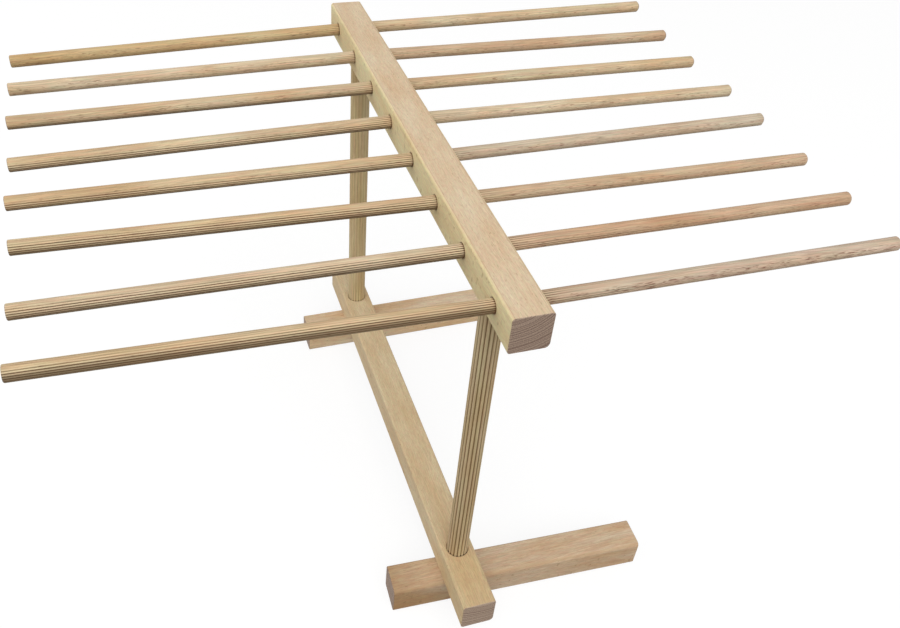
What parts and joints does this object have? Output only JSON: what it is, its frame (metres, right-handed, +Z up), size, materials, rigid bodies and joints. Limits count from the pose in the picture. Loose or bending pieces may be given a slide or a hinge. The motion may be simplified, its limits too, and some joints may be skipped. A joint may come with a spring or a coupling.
{
  "type": "pasta drying rack",
  "caption": "Free-standing wooden rack for drying fresh pasta: reeded arms stand out from both sides of a raised rail, on posts, a base rail and swivelling feet.",
  "frame": {"origin": "on the ground, below the middle of the base rail, midway between the two posts", "axes": "+X along the arms, to the side of the long ends of the feet; +Y along the rails, from the near post to the far post; +Z up"},
  "size_m": [0.4635, 0.36, 0.2863],
  "materials": {
    "rail_beech": "planed and sanded, bare",
    "foot_beech": "planed and sanded, bare",
    "post_beech": "grooved dowel, bare",
    "arm_beech": "grooved dowel, bare"
  },
  "bodies": {
    "base": {"base_rail": "rail_beech", "near_post": "post_beech", "far_post": "post_beech"},
    "near_foot": {"near_foot": "foot_beech"},
    "far_foot": {"far_foot": "foot_beech"},
    "top": {"top_rail": "rail_beech"},
    "left_arm_1": {"left_arm_1": "arm_beech"},
    "left_arm_2": {"left_arm_2": "arm_beech"},
    "left_arm_3": {"left_arm_3": "arm_beech"},
    "left_arm_4": {"left_arm_4": "arm_beech"},
    "left_arm_5": {"left_arm_5": "arm_beech"},
    "left_arm_6": {"left_arm_6": "arm_beech"},
    "left_arm_7": {"left_arm_7": "arm_beech"},
    "left_arm_8": {"left_arm_8": "arm_beech"},
    "right_arm_1": {"right_arm_1": "arm_beech"},
    "right_arm_2": {"right_arm_2": "arm_beech"},
    "right_arm_3": {"right_arm_3": "arm_beech"},
    "right_arm_4": {"right_arm_4": "arm_beech"},
    "right_arm_5": {"right_arm_5": "arm_beech"},
    "right_arm_6": {"right_arm_6": "arm_beech"},
    "right_arm_7": {"right_arm_7": "arm_beech"},
    "right_arm_8": {"right_arm_8": "arm_beech"}
  },
  "joints": [
    {"name": "near_foot_swivel", "type": "hinge", "parent": "base", "child": "near_foot", "pos_m": [0, -0.135, 0.015], "axis": [0, 0, 1], "continuous": true},
    {"name": "far_foot_swivel", "type": "hinge", "parent": "base", "child": "far_foot", "pos_m": [0, 0.135, 0.015], "axis": [0, 0, 1], "continuous": true},
    {"name": "top_lift", "type": "slide", "parent": "base", "child": "top", "axis": [0, 0, 1], "range_m": [0, 0.014]},
    {"name": "left_arm_1_pull", "type": "slide", "parent": "top", "child": "left_arm_1", "axis": [-0.9997, 0, 0.0244], "range_m": [0, 0.008]},
    {"name": "left_arm_2_pull", "type": "slide", "parent": "top", "child": "left_arm_2", "axis": [-1, 0, 0.0052], "range_m": [0, 0.008]},
    {"name": "left_arm_3_pull", "type": "slide", "parent": "top", "child": "left_arm_3", "axis": [-0.9998, 0, 0.0192], "range_m": [0, 0.008]},
    {"name": "left_arm_4_pull", "type": "slide", "parent": "top", "child": "left_arm_4", "axis": [-1, 0, 0.0017], "range_m": [0, 0.008]},
    {"name": "left_arm_5_pull", "type": "slide", "parent": "top", "child": "left_arm_5", "axis": [-0.9998, 0, -0.0175], "range_m": [0, 0.008]},
    {"name": "left_arm_6_pull", "type": "slide", "parent": "top", "child": "left_arm_6", "axis": [-0.9999, 0, -0.0105], "range_m": [0, 0.008]},
    {"name": "left_arm_7_pull", "type": "slide", "parent": "top", "child": "left_arm_7", "axis": [-0.9998, 0, -0.0175], "range_m": [0, 0.008]},
    {"name": "left_arm_8_pull", "type": "slide", "parent": "top", "child": "left_arm_8", "axis": [-0.9996, 0, -0.0297], "range_m": [0, 0.008]},
    {"name": "right_arm_1_pull", "type": "slide", "parent": "top", "child": "right_arm_1", "axis": [1, 0, -0.0052], "range_m": [0, 0.008]},
    {"name": "right_arm_2_pull", "type": "slide", "parent": "top", "child": "right_arm_2", "axis": [1, 0, -0.0052], "range_m": [0, 0.008]},
    {"name": "right_arm_3_pull", "type": "slide", "parent": "top", "child": "right_arm_3", "axis": [1, 0, -0.0087], "range_m": [0, 0.008]},
    {"name": "right_arm_4_pull", "type": "slide", "parent": "top", "child": "right_arm_4", "axis": [1, 0, 0.007], "range_m": [0, 0.008]},
    {"name": "right_arm_5_pull", "type": "slide", "parent": "top", "child": "right_arm_5", "axis": [1, 0, -0.007], "range_m": [0, 0.008]},
    {"name": "right_arm_6_pull", "type": "slide", "parent": "top", "child": "right_arm_6", "axis": [1, 0, -0.007], "range_m": [0, 0.008]},
    {"name": "right_arm_7_pull", "type": "slide", "parent": "top", "child": "right_arm_7", "axis": [1, 0, -0.0087], "range_m": [0, 0.008]},
    {"name": "right_arm_8_pull", "type": "slide", "parent": "top", "child": "right_arm_8", "axis": [1, 0, 0.0087], "range_m": [0, 0.008]}
  ]
}
